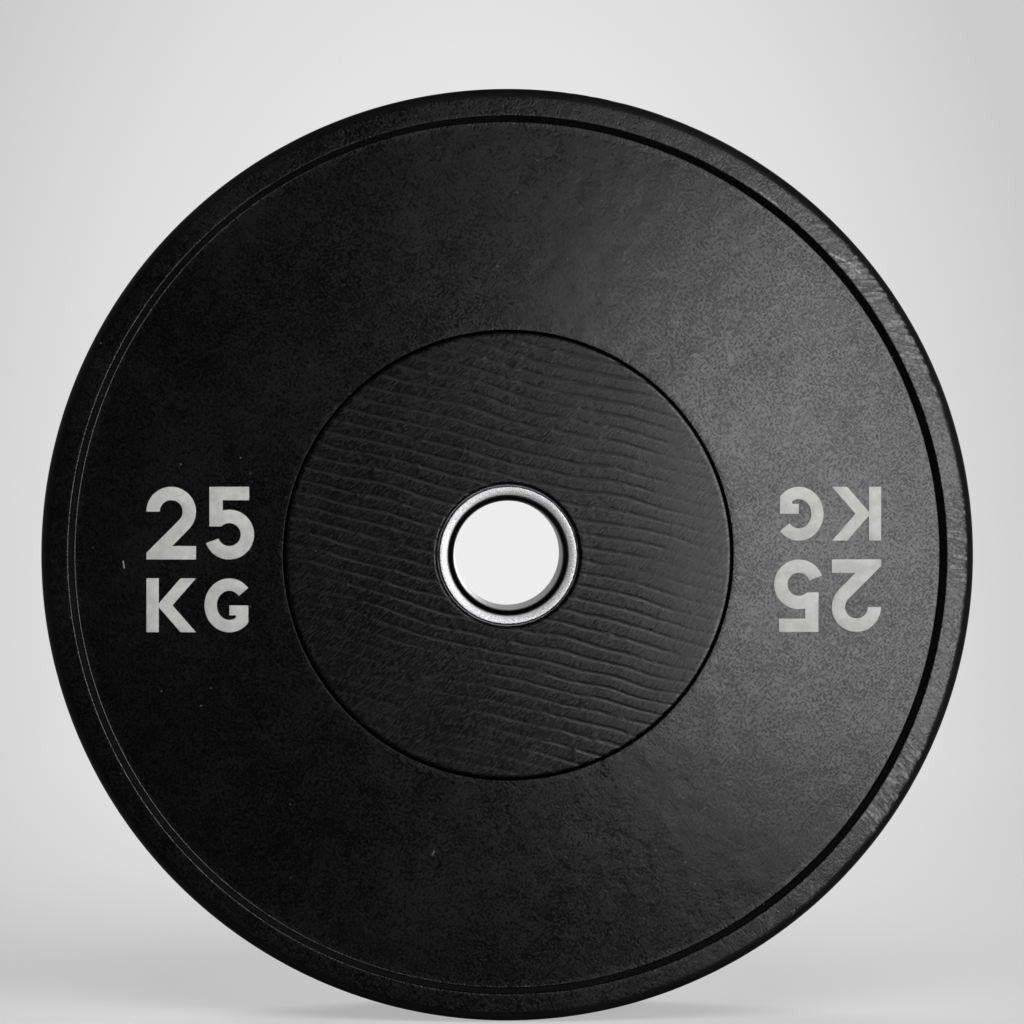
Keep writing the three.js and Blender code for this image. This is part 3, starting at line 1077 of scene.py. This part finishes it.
def make_backdrop_paper():
    """Pale matt paper. The camera and reflections see it evenly lit with a soft glow behind the
    plate, all but the floor by the plate, which keeps the plate's shadow."""
    finish, graph, shader, place = finish_graph("backdrop_paper")
    studio = bpy.context.scene.studio_settings
    paper = {"Base Color": (*studio.backdrop, 1.0), "Roughness": 0.9, "Specular IOR Level": 0.0}
    graph.fill(shader, paper)
    x, y, z = graph.split(place)
    camera_back = 1.4
    ahead = graph.math("MAXIMUM", graph.plus(y, camera_back), 0.3)
    spread = graph.math("DIVIDE", x, ahead)
    height = graph.math("MAXIMUM", graph.plus(z, node_radius("rubber_tyre")), 0.0)
    fall = graph.plus((spread, spread, 5.85), (height, height, 0.051))
    glowing = graph.math("MAXIMUM", graph.math("SUBTRACT", studio.backdrop_glow, fall), studio.backdrop_edge)
    level = graph.between(graph.step(y, -0.9, -0.4), studio.backdrop_edge, glowing)
    even_share = graph.remap(graph.vector("LENGTH", place), 0.3, 1.4, 0.5, 1.0)
    glow = graph.out("ShaderNodeEmission", {"Strength": level})
    rays = graph.node("ShaderNodeLightPath").outputs
    seen = graph.math("MAXIMUM", rays["Is Camera Ray"], rays["Is Glossy Ray"])
    seen = graph.math("MAXIMUM", seen, rays["Is Transmission Ray"])
    shaders = {0: graph.times(seen, even_share), 1: shader.outputs[0], 2: glow}
    mixed = graph.out("ShaderNodeMixShader", shaders)
    graph.fill(finish.node_tree.nodes["Material Output"], {"Surface": mixed})
    return finish


def sweep(name, section, start, end, finish):
    """Part of a round backdrop: a section of (radius, z) points turned about Z between two angles."""
    steps = 64
    shell = bmesh.new()
    rows = []
    for i in range(steps + 1):
        angle = radians(start + (end - start) * i / steps)
        row = [shell.verts.new((r * cos(angle), r * sin(angle), z)) for r, z in section]
        rows.append(row)
    for row, following in zip(rows, rows[1:]):
        for j in range(len(section) - 1):
            shell.faces.new((row[j], row[j + 1], following[j + 1], following[j]))
    bmesh.ops.remove_doubles(shell, verts=shell.verts, dist=0.01 * MM)
    bmesh.ops.recalc_face_normals(shell, faces=shell.faces)
    mesh = bpy.data.meshes.new(name)
    shell.to_mesh(mesh)
    shell.free()
    for face in mesh.polygons:
        face.use_smooth = True
    mesh.materials.append(finish)
    piece = bpy.data.objects.new(name, mesh)
    linked(piece)
    return piece


def soft_light(name, place, width, height, power, reflects, lean=0.0):
    """A rectangular soft light aimed at the plate. It either makes the plate's gloss and nothing
    else, or lights it without a glare, as a polarised light does."""
    lamp = bpy.data.lights.new(name, "AREA")
    lamp.shape = "RECTANGLE"
    lamp.size = width
    lamp.size_y = height
    lamp.energy = power
    piece = bpy.data.objects.new(name, lamp)
    piece.location = place
    aim = (-Vector(place)).to_track_quat("-Z", "Y")
    piece.rotation_euler = (aim @ Quaternion((0.0, 0.0, 1.0), lean)).to_euler()
    piece.visible_camera = False
    piece.visible_glossy = reflects
    piece.visible_diffuse = not reflects
    linked(piece)


BACKDROP_RADIUS = 4.8
BACKDROP_BEND = 1.2
BACKDROP_TOP = 5.0
ROOM_TONE = (0.02, 0.02, 0.02, 1.0)


class PLATE_OT_stage(bpy.types.Operator):
    """Make the floor, the backdrop, the lights and the camera"""

    bl_idname = "plate.stage"
    bl_label = "Studio"

    def execute(self, context):
        studio = context.scene.studio_settings
        floor_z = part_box("rubber_tyre")[0].z
        bend_middle = (BACKDROP_RADIUS - BACKDROP_BEND, floor_z + BACKDROP_BEND)
        bend = arc(bend_middle, BACKDROP_BEND, -90, 0, 16)
        wall = [(0.0, floor_z), *bend, (BACKDROP_RADIUS, BACKDROP_TOP)]
        paper = make_backdrop_paper()
        sweep("backdrop", wall, 0, 180, paper)
        front = sweep("front_backdrop", wall, 180, 360, paper)
        front.visible_glossy = False
        front.visible_shadow = False
        key = (studio.key_width, studio.key_height, studio.key_power, True, studio.key_lean)
        x, y, z = studio.key_place
        soft_light("key_light", (x, y, z), *key)
        soft_light("rear_key_light", (x, -y, z), *key)
        soft_light("overhead_light", (0.3, -1.5, 2.1), 2.0, 1.6, studio.overhead_power, False)
        soft_light("side_light", (1.9, -1.5, 0.6), 1.2, 1.2, studio.side_power, False)
        soft_light("back_light", (-0.6, 2.1, 1.9), 2.0, 1.6, studio.back_power, False)
        world = bpy.data.worlds.new("dark_room")
        world.use_nodes = True
        world.node_tree.nodes["Background"].inputs["Color"].default_value = ROOM_TONE
        context.scene.world = world
        context.scene.view_settings.view_transform = "Standard"
        camera = bpy.data.cameras.new("camera")
        camera.lens = studio.lens_mm
        camera.sensor_width = 36.0
        camera.clip_start = 0.01
        camera.clip_end = 50.0
        holder = linked(bpy.data.objects.new("camera", camera))
        holder.location = studio.camera_place
        holder.rotation_euler = (pi / 2 - studio.look_down, 0.0, -studio.turn_right)
        context.scene.camera = holder
        return {"FINISHED"}


class PLATE_PT_panel(bpy.types.Panel):
    """Holds a button for each step, and every setting"""

    bl_label = "Bumper plate"
    bl_idname = "PLATE_PT_panel"
    bl_space_type = "VIEW_3D"
    bl_region_type = "UI"
    bl_category = "Plate"

    def draw(self, context):
        for operator in OPERATORS:
            self.layout.operator(operator.bl_idname)
        for group in GROUPS:
            box = self.layout.box()
            settings = getattr(context.scene, group)
            for key in settings.bl_rna.properties.keys():
                if key not in ("rna_type", "name"):
                    box.prop(settings, key, text=key.replace("_", " ").capitalize())


OPERATORS = (
    PLATE_OT_stage,
    PLATE_OT_tyre,
    PLATE_OT_hub_covers,
    PLATE_OT_bore,
    PLATE_OT_figures,
    PLATE_OT_core,
)
GROUPS = {
    "plate_sizes": PlateSizes,
    "figure_sizes": FigureSizes,
    "plate_finishes": Finishes,
    "studio_settings": StudioSettings,
}


def register():
    for made in (*GROUPS.values(), *OPERATORS, PLATE_PT_panel):
        bpy.utils.register_class(made)
    for key, group in GROUPS.items():
        setattr(bpy.types.Scene, key, PointerProperty(type=group))


def unregister():
    for key in GROUPS:
        delattr(bpy.types.Scene, key)
    for made in reversed((*GROUPS.values(), *OPERATORS, PLATE_PT_panel)):
        bpy.utils.unregister_class(made)


def main():
    register()
    bpy.ops.plate.stage()
    bpy.ops.plate.tyre()
    bpy.ops.plate.hub_covers()
    bpy.ops.plate.bore()
    bpy.ops.plate.figures()
    bpy.ops.plate.core()


if __name__ == "__main__":
    main()
